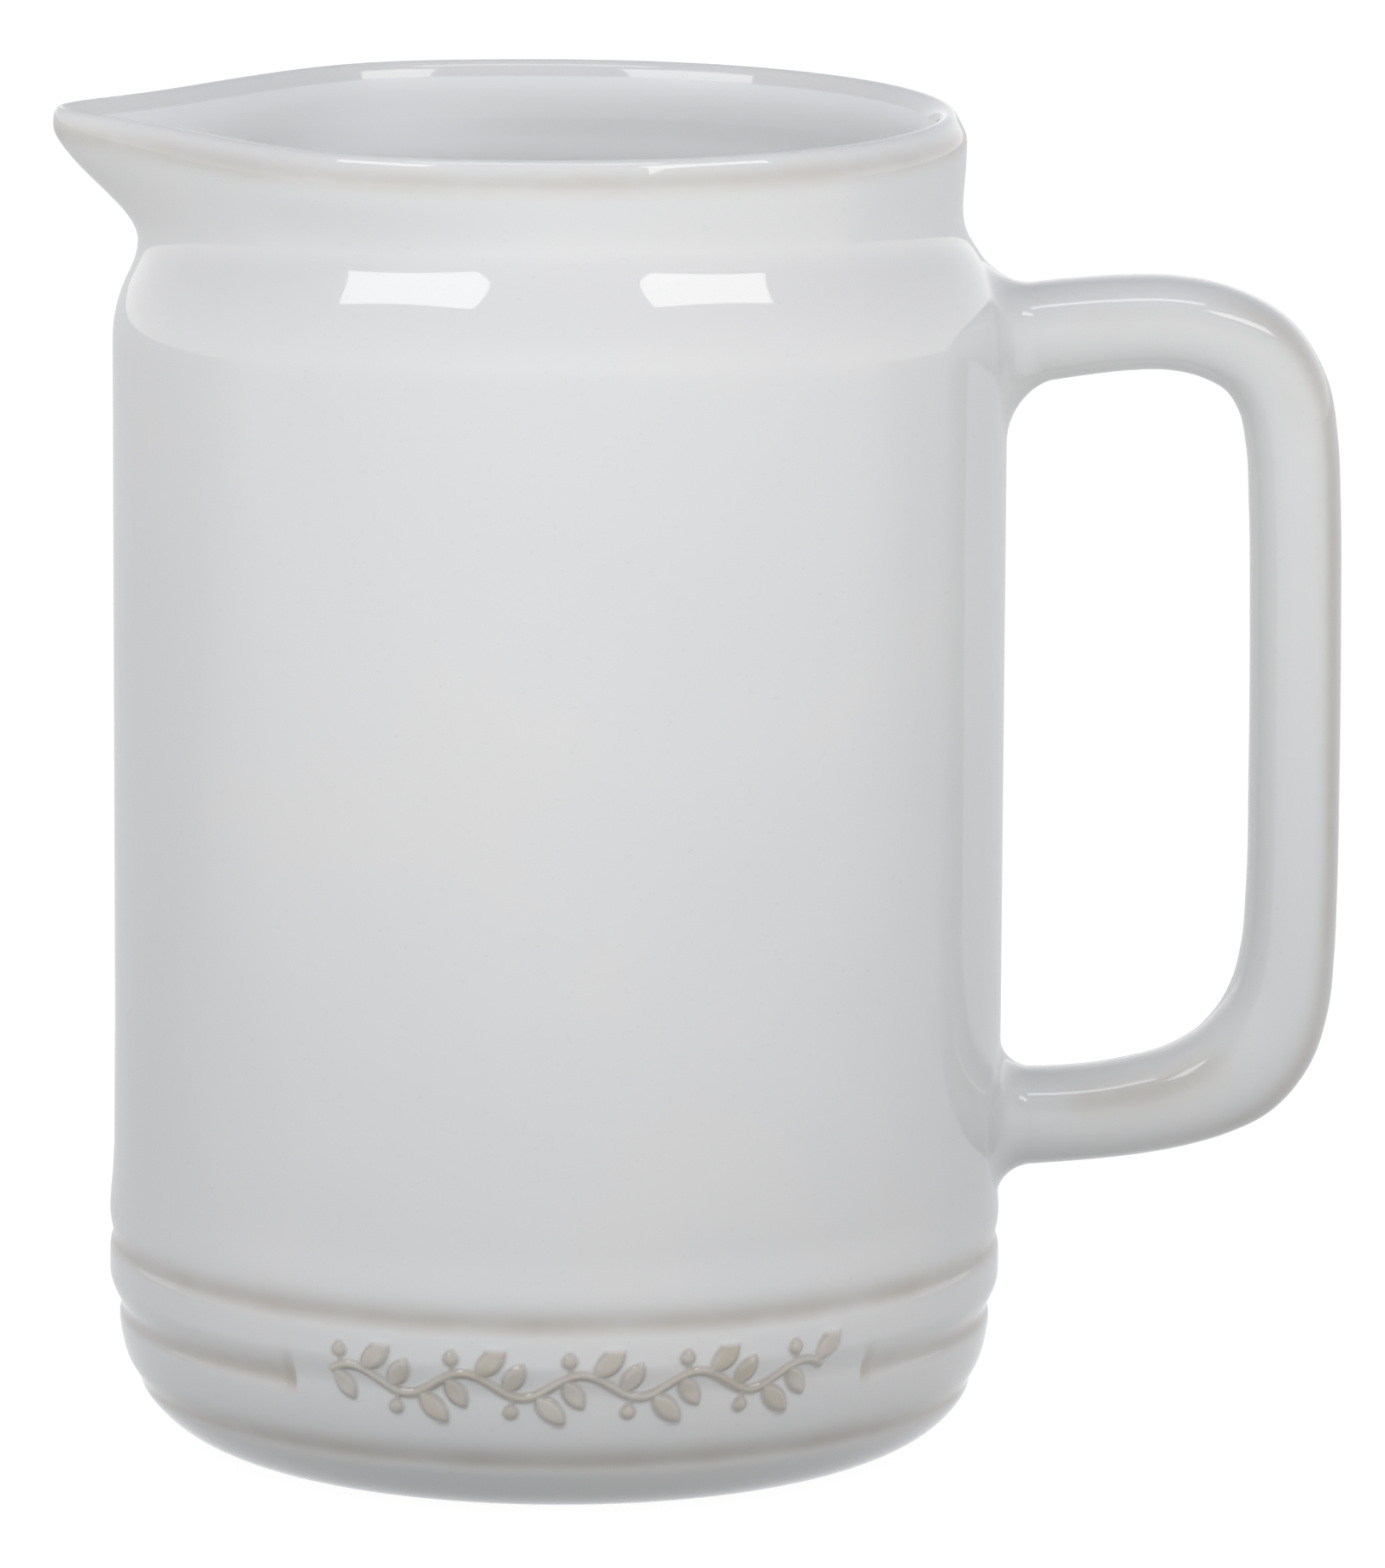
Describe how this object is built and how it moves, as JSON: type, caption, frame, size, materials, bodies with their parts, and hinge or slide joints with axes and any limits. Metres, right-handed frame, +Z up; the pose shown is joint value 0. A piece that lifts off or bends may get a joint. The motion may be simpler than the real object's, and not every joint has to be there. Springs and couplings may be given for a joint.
{
  "type": "ceramic pitcher",
  "caption": "Straight-sided glazed stoneware pitcher with a drawn pouring lip, a short neck and a D-shaped handle, for serving drinks or holding flowers.",
  "frame": {"origin": "on the axis of the round body, in the plane of the foot that the pitcher stands on", "axes": "+Z up along the body's axis, +X towards the handle, -X towards the pouring lip"},
  "size_m": [0.1334, 0.0924, 0.1387],
  "materials": {
    "body_glaze": "gloss",
    "handle_glaze": "gloss",
    "pad_glaze": "gloss"
  },
  "bodies": {
    "root": {"body": "body_glaze", "handle": "handle_glaze", "upper_slip_pad": "pad_glaze", "lower_slip_pad": "pad_glaze"}
  },
  "joints": []
}
